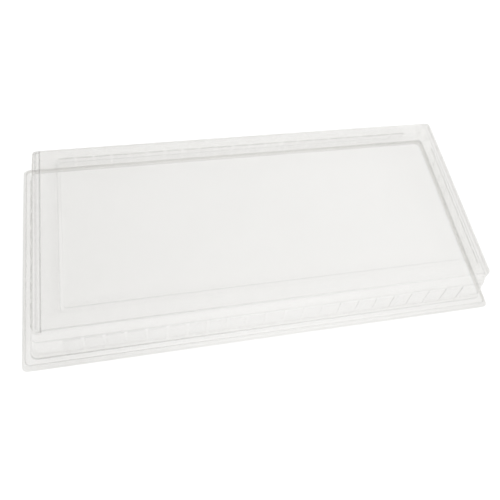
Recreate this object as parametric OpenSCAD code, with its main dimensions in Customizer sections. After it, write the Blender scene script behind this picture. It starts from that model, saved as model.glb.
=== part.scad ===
// Humidity dome: one thin clear sheet formed over a mould, open underneath.
// Millimetres. X along the length, Y along the width, Z up, rim flat on z = 0.

/* [Overall] */
// Length over the rim lip
rim_l = 559; // [466:1:671]
// Width over the rim lip
rim_w = 261; // [218:1:313]
// Height of the top border above the ground
top_h = 68.5; // [57:0.5:82]
// Thickness of the formed sheet
sheet = 0.6; // [0.5:0.05:0.8]

/* [Rim] */
// Width of the flat lip that rests on the tray
lip_w = 3.8; // [3:0.1:5]
// Height of the ledge above the lip
skirt_h = 7; // [5.8:0.1:8.4]
// Width of the ledge between the skirt and the walls
ledge_w = 6.8; // [5.5:0.1:8]
// Corner radius of the lip
lip_r = 6; // [5:0.5:8]
// Corner radius of the skirt
skirt_r = 6.5; // [5:0.5:8]

/* [Walls] */
// Lean of the end walls, base to top
end_lean = 11.6; // [10.4:0.1:14.8]
// Lean of the long walls, base to top
side_lean = 8.6; // [7.9:0.1:11.2]
// Height of the belt line round the walls
belt_z = 43; // [37:0.5:48]
// Step in at the belt line
belt_step = 0.8; // [0.7:0.05:1]
// Corner radius of the walls
wall_r = 8; // [7:0.5:9.5]
// Radius of the bend between walls and top
edge_r = 2.4; // [2:0.1:2.8]

/* [Pads] */
// Distance from one pad to the next
pad_pitch = 22.2; // [18.5:0.1:26.6]
// Groove between two pads
pad_gap = 3.4; // [3:0.1:4.1]
// Least plain wall left between a row of pads and the corner
row_margin = 26; // [22:0.5:31]
// Foot of the pads
pad_foot_z = 13; // [12:0.5:15]
// How far the pads stand out at the top
pad_proud = 1.5; // [1.2:0.1:1.8]
// How far the pads stand out at the foot
pad_proud_foot = 1; // [0.9:0.05:1.2]

/* [Centre panel] */
// Border left at the two ends
panel_end = 28; // [22:0.5:32]
// Border left along the two long sides
panel_side = 17; // [13.5:0.1:19]
// Width of the sloping step round the panel
panel_step = 4; // [3.3:0.1:4.8]
// Rise of the panel above the border
panel_rise = 1.6; // [1.4:0.1:1.9]
// Corner radius of the panel
panel_r = 2.4; // [2:0.1:2.8]

/* [Hidden] */
$fn = 32;
clear_grey = [0.93, 0.93, 0.92, 0.35];
// long enough to run out of the solid on both sides of a cut
cut = 1;
// how far a pad runs into the wall behind it
bury = 2;
// half sizes of the nested outlines, outside face
skirt_x = rim_l / 2 - lip_w;
skirt_y = rim_w / 2 - lip_w;
base_x = skirt_x - ledge_w;
base_y = skirt_y - ledge_w;
top_x = base_x - end_lean;
top_y = base_y - side_lean;
// share of the wall height reached at the belt line
belt_part = (belt_z - skirt_h) / (top_h - skirt_h);
belt_x = base_x - end_lean * belt_part;
belt_y = base_y - side_lean * belt_part;
// as many pads as fit on each wall between its two margins
pads_long = floor((2 * (belt_x - row_margin) + pad_gap) / pad_pitch);
pads_end = floor((2 * (belt_y - row_margin) + pad_gap) / pad_pitch);
panel_x = top_x - panel_end;
panel_y = top_y - panel_side;

dome_cover();

// the formed sheet is the outer form less the same form one sheet further in
module dome_cover() {
    color(clear_grey)
    difference() {
        union() {
            outline_block(rim_l / 2, rim_w / 2, lip_r, 0, sheet);
            formed(0, 0);
        }
        formed(sheet, cut);
    }
}

// solid with every face moved in by skin; below is how far it runs under z = 0
module formed(skin, below) {
    outline_block(skirt_x - skin, skirt_y - skin, skirt_r - skin,
                  -below, skirt_h - skin + below);
    lower_wall(skin);
    upper_wall(skin);
    raised_panel(skin);
    pad_rows(skin);
}

// upright block with rounded corners, half sizes hx and hy
module outline_block(hx, hy, r, z, h) {
    translate([0, 0, z])
    linear_extrude(height = h) {
        square([2 * (hx - r), 2 * hy], center = true);
        square([2 * hx, 2 * (hy - r)], center = true);
        for (sx = [-1, 1]) for (sy = [-1, 1])
            translate([sx * (hx - r), sy * (hy - r)]) circle(r = r);
    }
}

// four thin corner discs, the points a hull is drawn round
module corner_discs(hx, hy, r, z) {
    for (sx = [-1, 1]) for (sy = [-1, 1])
        translate([sx * (hx - r), sy * (hy - r), z])
            cylinder(r = r, h = 0.01);
}

// wall from the ledge to the belt line
module lower_wall(skin) {
    hull() {
        corner_discs(base_x - skin, base_y - skin, wall_r - skin, skirt_h - skin - cut);
        corner_discs(belt_x - skin, belt_y - skin, wall_r - skin, belt_z - skin);
    }
}

// wall from the belt line to the top, with the bend into the top face
module upper_wall(skin) {
    r = wall_r - belt_step - skin;
    hull() {
        corner_discs(belt_x - belt_step - skin, belt_y - belt_step - skin, r,
                     belt_z - skin - cut);
        for (a = [0, 30, 60, 90])
            corner_discs(top_x - skin - edge_r * (1 - cos(a)),
                         top_y - skin - edge_r * (1 - cos(a)),
                         r - edge_r * (1 - cos(a)),
                         top_h - skin - edge_r * (1 - sin(a)));
    }
}

// raised centre panel with a sloping step all round
module raised_panel(skin) {
    hull() {
        corner_discs(panel_x - skin, panel_y - skin, panel_r + panel_step / 2,
                     top_h - skin - cut / 2);
        corner_discs(panel_x - panel_step - skin, panel_y - panel_step - skin, panel_r,
                     top_h + panel_rise - skin);
    }
}

// rows of upright pads on all four walls
module pad_rows(skin) {
    for (side = [0, 180]) rotate([0, 0, side])
        for (i = [0 : pads_long - 1])
            pad((i - (pads_long - 1) / 2) * pad_pitch, base_y, side_lean, skin);
    for (side = [90, 270]) rotate([0, 0, side])
        for (i = [0 : pads_end - 1])
            pad((i - (pads_end - 1) / 2) * pad_pitch, base_x, end_lean, skin);
}

// one pad centred at x on the wall facing -Y, whose base stands at y = -face
module pad(x, face, lean, skin) {
    w = pad_pitch - pad_gap - 2 * skin;
    foot_y = face - lean * (pad_foot_z - skirt_h) / (top_h - skirt_h);
    head_y = face - lean * belt_part;
    translate([x - w / 2, 0, 0])
    rotate([90, 0, 90])
    linear_extrude(height = w)
    polygon([
        [-foot_y + bury, pad_foot_z + skin],
        [-foot_y - pad_proud_foot + skin, pad_foot_z + skin],
        [-head_y - pad_proud + skin, belt_z - skin],
        [-head_y + bury, belt_z - skin]
    ]);
}
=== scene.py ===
import math

import bmesh
import bpy
from mathutils import Matrix, Vector


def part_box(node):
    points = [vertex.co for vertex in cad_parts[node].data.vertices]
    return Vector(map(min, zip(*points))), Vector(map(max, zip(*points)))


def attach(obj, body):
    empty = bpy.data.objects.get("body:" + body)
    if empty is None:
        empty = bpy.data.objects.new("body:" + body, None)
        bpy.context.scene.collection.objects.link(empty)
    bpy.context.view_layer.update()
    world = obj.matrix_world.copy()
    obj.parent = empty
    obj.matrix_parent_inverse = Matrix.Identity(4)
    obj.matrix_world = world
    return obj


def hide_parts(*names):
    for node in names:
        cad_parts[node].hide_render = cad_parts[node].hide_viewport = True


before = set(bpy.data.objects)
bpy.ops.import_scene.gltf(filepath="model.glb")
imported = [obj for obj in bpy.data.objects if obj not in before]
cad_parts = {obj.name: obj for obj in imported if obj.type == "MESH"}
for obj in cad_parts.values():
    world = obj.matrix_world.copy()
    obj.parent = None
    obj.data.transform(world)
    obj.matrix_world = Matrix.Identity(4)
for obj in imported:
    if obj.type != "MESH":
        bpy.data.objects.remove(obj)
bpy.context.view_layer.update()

MM = 0.001
LOW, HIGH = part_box("dome_cover")
LIP_X, LIP_Y = HIGH.x, HIGH.y
PANEL_Z = HIGH.z

# sizes of the formed sheet, in metres
SHEET = 0.6 * MM
LIP_WIDTH, LIP_RADIUS = 3.8 * MM, 6 * MM
SKIRT_RADIUS = 6.5 * MM
LEDGE_WIDTH, LEDGE_Z, LEDGE_RADIUS = 6.8 * MM, 7.0 * MM, 7.4 * MM
WALL_RADIUS, TOP_RADIUS = 8 * MM, 5 * MM
BELT_Z, BELT_STEP = 43.0 * MM, 0.8 * MM
END_LEAN, SIDE_LEAN = 11.6 * MM, 8.6 * MM
EDGE_HIGH, EDGE_END = 1.8 * MM, 5.0 * MM
PANEL_RISE = 1.6 * MM
PANEL_END, PANEL_SIDE = 28 * MM, 17 * MM
END_STEP_IN, END_STEP_DROP, END_STEP_HALF = 8.3 * MM, 1.2 * MM, 1.3 * MM

# the lower bends: how far each one reaches, and how much painted shade marks it on the long walls
# and the ends
LIP_BEND, LIP_PAINTED_SHADE = 1.2 * MM, 0.08
SKIRT_BEND, SKIRT_PAINTED_SHADE, SKIRT_END_PAINTED_SHADE = 1.3 * MM, 0.75, 0.4
WALL_BEND, WALL_PAINTED_SHADE, WALL_END_PAINTED_SHADE = 1.5 * MM, 0.85, 0.35
WALL_TURN = math.radians(80)
# painted shade along the step across each end of the top
END_STEP_PAINTED_SHADE = 1.4

# the belt of upright pads
PAD_PITCH, PAD_GAP = 22.2 * MM, 3.4 * MM
PADS_LONG, PADS_END = 21, 8
PAD_FOOT_Z, PAD_FILLET = 13 * MM, 1.6 * MM
PAD_OUT_FOOT, PAD_OUT_HEAD = 1.0 * MM, 1.5 * MM
# painted shade on the pads, and painted dark lines along the pads' upright edges, weaker on the
# ends
PAD_PAINTED_SHADE, PAD_PAINTED_LINES, PAD_PAINTED_LINES_ON_ENDS = 0.1, 0.06, 0.4

BORDER_Z = PANEL_Z - PANEL_RISE
SKIRT_X, SKIRT_Y = LIP_X - LIP_WIDTH, LIP_Y - LIP_WIDTH
BASE_X, BASE_Y = SKIRT_X - LEDGE_WIDTH, SKIRT_Y - LEDGE_WIDTH
TOP_X, TOP_Y = BASE_X - END_LEAN, BASE_Y - SIDE_LEAN

# how finely the rings are drawn
CORNER_STEPS, MARGIN_STEPS = 10, 5
BEND_STEPS, EDGE_STEPS, PAD_STEPS = 4, 6, 5


def soft_step(t):
    """0 to 1 with level ends."""
    t = min(max(t, 0.0), 1.0)
    return t * t * (3 - 2 * t)


# ---------------------------------------------------------------- the sheet

def pad_stations(count):
    """Places along one wall: five to each half pad, so that both edges of every groove have one."""
    groove = PAD_GAP / 2
    past_groove = groove + 1.6 * MM
    offsets = (0.0, groove - 0.3 * MM, groove + 0.5 * MM, past_groove, 0.5 * PAD_PITCH)
    places = set()
    for i in range(count + 1):
        middle = (i - count / 2) * PAD_PITCH
        for d in offsets:
            for side in (-1, 1):
                x = middle + side * d
                if abs(x) <= count * PAD_PITCH / 2 + past_groove:
                    places.add(round(x, 6))
    return sorted(places)


def from_groove(x, count):
    """How far a place along a wall is from the middle of the nearest groove."""
    return abs((x / PAD_PITCH + count / 2 + 0.5) % 1.0 - 0.5) * PAD_PITCH


def pad_height(x, count):
    """1 on a pad, 0 in a groove and on the plain wall past the last pad."""
    if abs(x) > count * PAD_PITCH / 2:
        return 0.0
    return soft_step((from_groove(x, count) - PAD_GAP / 2 + 0.3 * MM) / (0.8 * MM))


def pad_edge(x, count):
    """1 on the upright edges of the pads."""
    if abs(x) > count * PAD_PITCH / 2 + 1.0 * MM:
        return 0.0
    return max(0.0, 1 - abs(from_groove(x, count) - PAD_GAP / 2 - 0.1 * MM) / (1.0 * MM))


LONG_PLACES, END_PLACES = pad_stations(PADS_LONG), pad_stations(PADS_END)


def stations():
    """One entry for each point of a ring: its wall, what kind of place it is, and where."""
    ring = []
    for wall in range(4):
        places = LONG_PLACES if wall % 2 == 0 else END_PLACES
        ring += [(wall, "margin", -(1 - i / MARGIN_STEPS)) for i in range(1, MARGIN_STEPS)]
        ring += [(wall, "pad", x) for x in places]
        ring += [(wall, "margin", i / MARGIN_STEPS) for i in range(1, MARGIN_STEPS)]
        ring += [(wall, "corner", i / CORNER_STEPS) for i in range(CORNER_STEPS + 1)]
    return ring


STATIONS = stations()


class Level:
    """One ring of the sheet: its half sizes, corner radius and height, how far the pads stand out,
    how much painted shade marks its turn on the long walls and on the ends, and how dark the
    painted lines along the pads' edges are."""

    def __init__(self, hx, hy, radius, z, pad=0.0, bend=0.0, end_bend=None, pad_lines=0.0,
                 flat=False):
        self.hx, self.hy, self.radius, self.z = hx, hy, radius, z
        self.pad, self.pad_lines, self.flat = pad, pad_lines, flat
        self.bends = (bend, bend if end_bend is None else end_bend)

    def place(self, station):
        """Where the ring passes this station, and how much painted shade marks the sheet's turn
        there.
        """
        wall, kind, value = station
        long_wall = wall % 2 == 0
        along, across = (self.hx, self.hy) if long_wall else (self.hy, self.hx)
        places, count = (LONG_PLACES, PADS_LONG) if long_wall else (END_PLACES, PADS_END)
        here, ahead = self.bends if long_wall else self.bends[::-1]
        straight = along - self.radius
        reach = places[-1]
        stretch = min(1.0, (straight - 4 * MM) / reach) if self.flat else 1.0
        out, bend = 0.0, here
        if kind == "pad":
            x = value * stretch
            out = self.pad * pad_height(value, count)
            if self.pad_lines:
                # painted dark lines along the pads' edges
                lines = self.pad_lines if long_wall else PAD_PAINTED_LINES_ON_ENDS * self.pad_lines
                bend = max(bend * pad_height(value, count), lines * pad_edge(value, count))
        elif kind == "margin":
            near = reach * stretch
            x = math.copysign(near + (straight - near) * abs(value), value)
            if self.pad_lines:
                bend = 0.0
        else:
            angle = value * math.pi / 2
            x = straight + self.radius * math.sin(angle)
            across = across - self.radius * (1 - math.cos(angle))
            bend = 0.0 if self.pad_lines else here + (ahead - here) * value
        point = Vector((x, -across - out, self.z))
        point.rotate(Matrix.Rotation(wall * math.pi / 2, 3, "Z"))
        return point, bend


def wall_level(z, **more):
    """A ring on the leaning walls at height z."""
    share = (z - LEDGE_Z) / (BORDER_Z - LEDGE_Z)
    step = BELT_STEP * soft_step((z - BELT_Z + 0.6 * MM) / (0.9 * MM))
    return Level(BASE_X - END_LEAN * share - step, BASE_Y - SIDE_LEAN * share - step,
                 WALL_RADIUS - step - (WALL_RADIUS - TOP_RADIUS) * share, z, **more)


def foot_levels():
    """The lip, the skirt and the ledge, up to the foot of the walls."""
    # each ring's painted shade darkens the turns of the lip, skirt and ledge
    rings = [
        Level(LIP_X, LIP_Y, LIP_RADIUS, SHEET, bend=0.05),
        Level(LIP_X - 0.5 * MM, LIP_Y - 0.5 * MM, LIP_RADIUS, SHEET, bend=0.06),
        Level(SKIRT_X + 1.6 * MM, SKIRT_Y + 1.6 * MM, 6.2 * MM, SHEET, bend=0.06),
    ]
    turns = [(i / (BEND_STEPS - 1), 0 < i < BEND_STEPS - 1) for i in range(BEND_STEPS)]
    for share, paints_shade in turns:                               # lip into skirt
        a = math.pi / 2 * share
        d = LIP_BEND * (1 - math.sin(a))
        rings.append(Level(SKIRT_X + d, SKIRT_Y + d, SKIRT_RADIUS,
                           SHEET + LIP_BEND * (1 - math.cos(a)), bend=LIP_PAINTED_SHADE * paints_shade))
    rings.append(Level(SKIRT_X, SKIRT_Y, SKIRT_RADIUS, 4 * MM))
    for share, paints_shade in turns:                               # skirt into ledge
        a = math.pi / 2 * share
        d = SKIRT_BEND * (1 - math.cos(a))
        rings.append(Level(SKIRT_X - d, SKIRT_Y - d, SKIRT_RADIUS - 0.5 * d,
                           LEDGE_Z - SKIRT_BEND * (1 - math.sin(a)),
                           bend=SKIRT_PAINTED_SHADE * paints_shade, end_bend=SKIRT_END_PAINTED_SHADE * paints_shade))
    rings.append(Level(BASE_X + 3 * MM, BASE_Y + 3 * MM, LEDGE_RADIUS, LEDGE_Z))
    for share, paints_shade in turns:                               # ledge into wall
        a = WALL_TURN * share
        d = WALL_BEND * (1 - math.sin(a)) - 0.2 * MM
        rings.append(Level(BASE_X + d, BASE_Y + d, WALL_RADIUS,
                           LEDGE_Z + WALL_BEND * (1 - math.cos(a)),
                           bend=WALL_PAINTED_SHADE * paints_shade, end_bend=WALL_END_PAINTED_SHADE * paints_shade))
    return rings


def wall_levels():
    """The leaning walls: plain, the belt of pads, the step in at the belt line, and plain again."""
    foot, head = PAD_OUT_FOOT, PAD_OUT_HEAD
    rings = [
        wall_level(11 * MM),
        # painted dark lines along the pads' edges, and painted shade on the pads, from here up
        wall_level(PAD_FOOT_Z - 0.8 * MM, pad_lines=0.001),
        wall_level(PAD_FOOT_Z + 0.2 * MM, pad=0.5 * foot, pad_lines=0.05),
    ]
    rise = BELT_Z - 1.5 * MM - PAD_FILLET - PAD_FOOT_Z
    for i in range(PAD_STEPS):
        share = i / PAD_STEPS
        rings.append(wall_level(PAD_FOOT_Z + PAD_FILLET + rise * share,
                                pad=foot + (head - foot) * share,
                                bend=PAD_PAINTED_SHADE, pad_lines=PAD_PAINTED_LINES))
    return rings + [
        wall_level(BELT_Z - 1.5 * MM, pad=head, bend=PAD_PAINTED_SHADE, pad_lines=PAD_PAINTED_LINES),
        # painted shade along the step in at the belt line
        wall_level(BELT_Z - 0.8 * MM, pad=head, bend=0.2, end_bend=0.05, pad_lines=0.1),
        wall_level(BELT_Z - 0.2 * MM, pad=0.6 * head, bend=0.35, end_bend=0.1),
        wall_level(BELT_Z + 0.5 * MM, pad=0.1 * head, bend=0.3, end_bend=0.1),
        wall_level(BELT_Z + 1.5 * MM),
        wall_level(BELT_Z + 8 * MM),
        wall_level(BELT_Z + 15 * MM),
    ]


def top_levels():
    """The rounded top edge, wider over the ends, the border, the sloping step and the panel."""
    rings = []
    # painted shade along the rounded top edge: on the long sides, then on the ends
    paints_shade = (0.05, 0.25, 0.5, 0.5, 0.25, 0.05)
    end_paints_shade = (0, 0.05, 0.1, 0.2, 0.4, 0.2)
    for i in range(EDGE_STEPS):
        share = i / (EDGE_STEPS - 1)
        a = math.pi / 2 * share
        d, lean = 1 - math.cos(a), 0.3 * MM * (1 - share)
        rings.append(Level(TOP_X + lean - EDGE_END * d, TOP_Y + lean - EDGE_HIGH * d,
                           TOP_RADIUS - EDGE_HIGH * d, BORDER_Z - EDGE_HIGH * (1 - math.sin(a)),
                           bend=paints_shade[i], end_bend=end_paints_shade[i], flat=share == 1))
    for d in (3, 7, 12):
        rings.append(Level(TOP_X - (EDGE_END - EDGE_HIGH) - d * MM, TOP_Y - d * MM, 4 * MM,
                           BORDER_Z, flat=True))
    px, py = TOP_X - PANEL_END, TOP_Y - PANEL_SIDE
    # for each ring: millimetres in, share of the rise, painted shade on the long sides, on the ends
    for d, rise, bend, end in ((-0.8, 0, 0.05, 0.15), (0, 0.06, 0.1, 0.4), (0.8, 0.22, 0.05, 0.15),
                               (3.2, 0.78, 0.15, 0.1), (4.0, 0.94, 0.42, 0.15), (4.8, 1, 0.1, 0)):
        rings.append(Level(px - d * MM, py - d * MM, (4.6 - 0.4 * d) * MM,
                           BORDER_Z + PANEL_RISE * rise, bend=bend, end_bend=end, flat=True))
    for d in (14, 34, 56, 76):
        rings.append(Level(px - d * MM, py - d * MM, 2.2 * MM, PANEL_Z, flat=True))
    return rings


def lower_end_strips(bm, bends):
    """Cuts the top across near each end, and lets the strip outside the cut lie a little lower. It
    paints a shade line along the cut, and halves the painted shade on the top edge where the strip
    lies lower.
    """
    edge = BORDER_Z - EDGE_HIGH - 0.1 * MM
    for side in (-1, 1):
        for d in (-END_STEP_HALF, -0.5 * MM, 0.5 * MM, END_STEP_HALF):
            faces = [f for f in bm.faces if min(v.co.z for v in f.verts) > edge]
            parts = dict.fromkeys(part for f in faces for part in (f, *f.edges, *f.verts))
            bmesh.ops.bisect_plane(bm, geom=list(parts), plane_no=(1, 0, 0),
                                   plane_co=(side * (TOP_X - END_STEP_IN + d), 0, 0))
    for v in bm.verts:
        inside = TOP_X - abs(v.co.x)
        if v.co.z > edge + 0.2 * MM and inside < END_STEP_IN + 2 * MM:
            across = inside - END_STEP_IN
            strip = 1 - soft_step((across + END_STEP_HALF) / (2 * END_STEP_HALF))
            # a painted shade line along the cut
            line = max(0.0, 1 - abs(across) / END_STEP_HALF)
            v.co.z -= END_STEP_DROP * strip
            if TOP_Y - abs(v.co.y) < 2.4 * MM:
                v[bends] *= 1 - 0.5 * strip
            v[bends] = max(v[bends], END_STEP_PAINTED_SHADE * line)


def make_sheet():
    """The whole dome: one ring drawn out level by level, closed at the top and given a wall."""
    bm = bmesh.new()
    station = bm.verts.layers.int.new("station")
    # per point, the painted shade along the sheet's turns, read by the material
    bends = bm.verts.layers.float.new("bend")
    bmesh.ops.create_circle(bm, cap_ends=False, segments=len(STATIONS), radius=1)
    bm.verts.ensure_lookup_table()
    for v in bm.verts:
        v[station] = v.index

    def lay(verts, level):
        for v in verts:
            v.co, v[bends] = level.place(STATIONS[v[station]])

    levels = foot_levels() + wall_levels() + top_levels()
    ring = list(bm.edges)
    lay(bm.verts, levels[0])
    for level in levels[1:]:
        drawn = bmesh.ops.extrude_edge_only(bm, edges=ring)["geom"]
        fresh = {g for g in drawn if isinstance(g, bmesh.types.BMVert)}
        lay(fresh, level)
        ring = [g for g in drawn if isinstance(g, bmesh.types.BMEdge)
                and g.verts[0] in fresh and g.verts[1] in fresh]
    bmesh.ops.contextual_create(bm, geom=ring)
    lower_end_strips(bm, bends)
    bmesh.ops.recalc_face_normals(bm, faces=bm.faces)
    top = max(bm.faces, key=lambda f: f.calc_area())
    if top.normal.z < 0:
        bmesh.ops.reverse_faces(bm, faces=bm.faces)
    mesh = bpy.data.meshes.new("formed_sheet")
    bm.to_mesh(mesh)
    bm.free()
    mesh.shade_smooth()
    piece = bpy.data.objects.new("formed_sheet", mesh)
    bpy.context.scene.collection.objects.link(piece)
    wall = piece.modifiers.new("thickness", "SOLIDIFY")
    wall.thickness = SHEET
    wall.offset = -1
    wall.use_even_offset = False
    return piece


# ---------------------------------------------------------------- materials

class Val:
    """A socket that can be used in sums, so that shader maths reads as plain arithmetic."""

    def __init__(self, finish, socket):
        self.finish, self.socket = finish, socket

    def _maths(self, operation, a, b, clamp=False):
        return self.finish.node("ShaderNodeMath", {0: a, 1: b}, operation=operation,
                                use_clamp=clamp)

    def __add__(self, other): return self._maths("ADD", self, other)
    def __radd__(self, other): return self._maths("ADD", other, self)
    def __sub__(self, other): return self._maths("SUBTRACT", self, other)
    def __rsub__(self, other): return self._maths("SUBTRACT", other, self)
    def __mul__(self, other): return self._maths("MULTIPLY", self, other)
    def __rmul__(self, other): return self._maths("MULTIPLY", other, self)
    def __pow__(self, other): return self._maths("POWER", self, other)
    def clamp(self): return self._maths("ADD", self, 0.0, clamp=True)


class Finish:
    """A material and the one way its nodes are made."""

    def __init__(self, name):
        self.material = bpy.data.materials.new(name)
        self.material.use_nodes = True
        self.tree = self.material.node_tree
        self.tree.nodes.clear()

    def node(self, kind, values=None, out=0, **settings):
        n = self.tree.nodes.new(kind)
        for key, value in settings.items():
            setattr(n, key, value)
        for key, value in (values or {}).items():
            if isinstance(value, Val):
                self.tree.links.new(value.socket, n.inputs[key])
            else:
                n.inputs[key].default_value = value
        return Val(self, n.outputs[out])

    def noise(self, place, scale, detail):
        return self.node("ShaderNodeTexNoise", {"Vector": place, "Scale": scale, "Detail": detail})

    def blend(self, share, a, b):
        """Mixes two colours."""
        return self.node("ShaderNodeMix", {0: share, 6: a, 7: b}, out=2, data_type="RGBA")

    def show(self, shader):
        out = self.tree.nodes.new("ShaderNodeOutputMaterial")
        self.tree.links.new(shader.socket, out.inputs["Surface"])
        return self.material


CLEAR = (0.975, 0.974, 0.970, 1)
# the haze's grey, and the darker grey painted as shade along the turns
HAZE_TINT, PAINTED_SHADE_TINT = (0.50, 0.49, 0.475, 1), (0.22, 0.215, 0.21, 1)
# the haze changes at these heights, over 5 mm: 200 a metre
WALL_START_Z, TOP_START_Z, FADE = 0.010, 0.060, 200


def clear_sheet():
    """Thin clear formed plastic: it lets most light straight through, greys a little where it is
    seen edge on, and mirrors the lights. Painted shade greys it along its tight turns, at the lower
    ends and over the left of the top, less towards the right end, where the light falls."""
    f = Finish("clear_sheet")
    place = f.node("ShaderNodeTexCoord", out="Object")
    # the painted shade along the turns, kept on the sheet's points
    bend = f.node("ShaderNodeAttribute", out="Fac", attribute_name="bend")
    ripple = f.noise(place, 9.0, 2.0)
    fine = f.noise(place, 160.0, 3.0)
    edge_on = f.node("ShaderNodeLayerWeight", {"Blend": 0.5}, out="Facing")
    height = ripple * 0.9 + fine * 0.02
    normal = f.node("ShaderNodeBump", {"Strength": 0.25, "Distance": 0.004, "Height": height})
    along = f.node("ShaderNodeSeparateXYZ", {"Vector": place})
    above = f.node("ShaderNodeSeparateXYZ", {"Vector": place}, out=2)
    on_top = ((above - TOP_START_Z) * FADE).clamp()
    on_wall = ((above - WALL_START_Z) * FADE).clamp()

    cloudy = 0.008 + 0.02 * ripple + 0.035 * on_wall
    # painted shade: the top greys towards the left end and clears towards the right, where the
    # light falls
    painted_top_shade = on_top * (0.045 - 0.13 * along)
    # painted shade on the walls and foot, growing towards both ends
    painted_shade_at_ends = (1 - on_top) * 0.8 * along * along
    # painted shade along the turns, fading out towards the right end, where the light falls
    at_bends = 0.27 * bend * (0.75 - 1.5 * along).clamp()
    haze = (cloudy + painted_top_shade + painted_shade_at_ends + at_bends + 0.06 * edge_on ** 6).clamp()
    mirror = (0.04 + 0.4 * edge_on ** 5).clamp()

    # the base colour darkens with the painted shade along the turns
    body = f.node("ShaderNodeBsdfPrincipled", {
        "Base Color": f.blend(bend.clamp(), HAZE_TINT, PAINTED_SHADE_TINT), "Normal": normal,
        "Roughness": 0.16 + 0.10 * fine, "Specular IOR Level": 0.5, "IOR": 1.5})
    shine = f.node("ShaderNodeBsdfAnisotropic", {
        "Color": (0.97, 0.97, 0.97, 1), "Normal": normal, "Roughness": 0.06 + 0.05 * fine})
    clear = f.node("ShaderNodeBsdfTransparent", {"Color": CLEAR})
    hazed = f.node("ShaderNodeMixShader", {0: haze, 1: clear, 2: body})
    return f.show(f.node("ShaderNodeMixShader", {0: mirror, 1: hazed, 2: shine}))


def pale_floor():
    f = Finish("pale_floor")
    grain = f.noise(f.node("ShaderNodeTexCoord", out="Object"), 3.0, 2.0)
    colour = f.blend(grain, (0.945, 0.945, 0.945, 1), (0.96, 0.96, 0.96, 1))
    return f.show(f.node("ShaderNodeBsdfPrincipled", {
        "Base Color": colour, "Roughness": 0.9, "Specular IOR Level": 0.1}))


# ---------------------------------------------------------------- studio

FLOOR_HALF, FLOOR_GAP = 6, 0.2 * MM


def make_floor():
    bm = bmesh.new()
    bmesh.ops.create_grid(bm, x_segments=2, y_segments=2, size=FLOOR_HALF)
    bmesh.ops.translate(bm, verts=bm.verts, vec=(0, 0, LOW.z - FLOOR_GAP))
    mesh = bpy.data.meshes.new("floor")
    bm.to_mesh(mesh)
    bm.free()
    floor = bpy.data.objects.new("floor", mesh)
    bpy.context.scene.collection.objects.link(floor)
    mesh.materials.append(pale_floor())


def softbox(name, place, size, power):
    """A soft rectangular light, turned to the middle of the dome's footprint."""
    light = bpy.data.lights.new(name, "AREA")
    light.shape, light.size, light.size_y = "RECTANGLE", size[0], size[1]
    light.energy = power
    o = bpy.data.objects.new(name, light)
    bpy.context.scene.collection.objects.link(o)
    o.location = place
    o.rotation_euler = (-Vector(place)).to_track_quat("-Z", "Y").to_euler()


def make_lights():
    world = bpy.data.worlds.new("studio")
    bpy.context.scene.world = world
    world.use_nodes = True
    back = world.node_tree.nodes["Background"]
    back.inputs["Color"].default_value = (1, 1, 1, 1)
    back.inputs["Strength"].default_value = 1.12
    softbox("key", (0.9, -1.9, 1.7), (1.8, 1.4), 10)
    softbox("fill", (-1.5, 0.4, 1.3), (1.2, 1.2), 3)


# the lens, measured in 500ths of the frame's width: how long it is, how far down its axis lies,
# and the middle of the frame
FRAME_WIDTH, LENS_LENGTH, AXIS_DOWN, MIDDLE = 500, 585.51, 200.0, 249.5
SENSOR = 36
# from the dome's frame to the camera's: the turn as an axis times an angle, and millimetres
VIEW_TURN = Vector((2.5999, -0.1919, 0.2304))
VIEW_SHIFT = Vector((4.0102, 47.8799, 748.5264))


def make_camera():
    """The camera stands high in front and to the left, and looks down on the dome."""
    data = bpy.data.cameras.new("camera")
    data.sensor_width, data.lens = SENSOR, LENS_LENGTH * SENSOR / FRAME_WIDTH
    data.shift_y = (AXIS_DOWN - MIDDLE) / FRAME_WIDTH
    look = Matrix.Rotation(VIEW_TURN.length, 3, VIEW_TURN.normalized())
    place = -(look.transposed() @ VIEW_SHIFT) * MM
    camera = bpy.data.objects.new("camera", data)
    bpy.context.scene.collection.objects.link(camera)
    flip = Matrix(((1, 0, 0), (0, -1, 0), (0, 0, -1)))
    camera.matrix_world = Matrix.Translation(place) @ (flip @ look).transposed().to_4x4()
    bpy.context.scene.camera = camera


sheet = make_sheet()
sheet.data.materials.append(clear_sheet())
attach(sheet, "root")
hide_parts("dome_cover")

make_floor()
make_lights()
make_camera()
bpy.context.scene.view_settings.view_transform = "Standard"
# a view right through the dome, near the rim, passes more than the usual eight clear faces
bpy.context.scene.cycles.transparent_max_bounces = 32
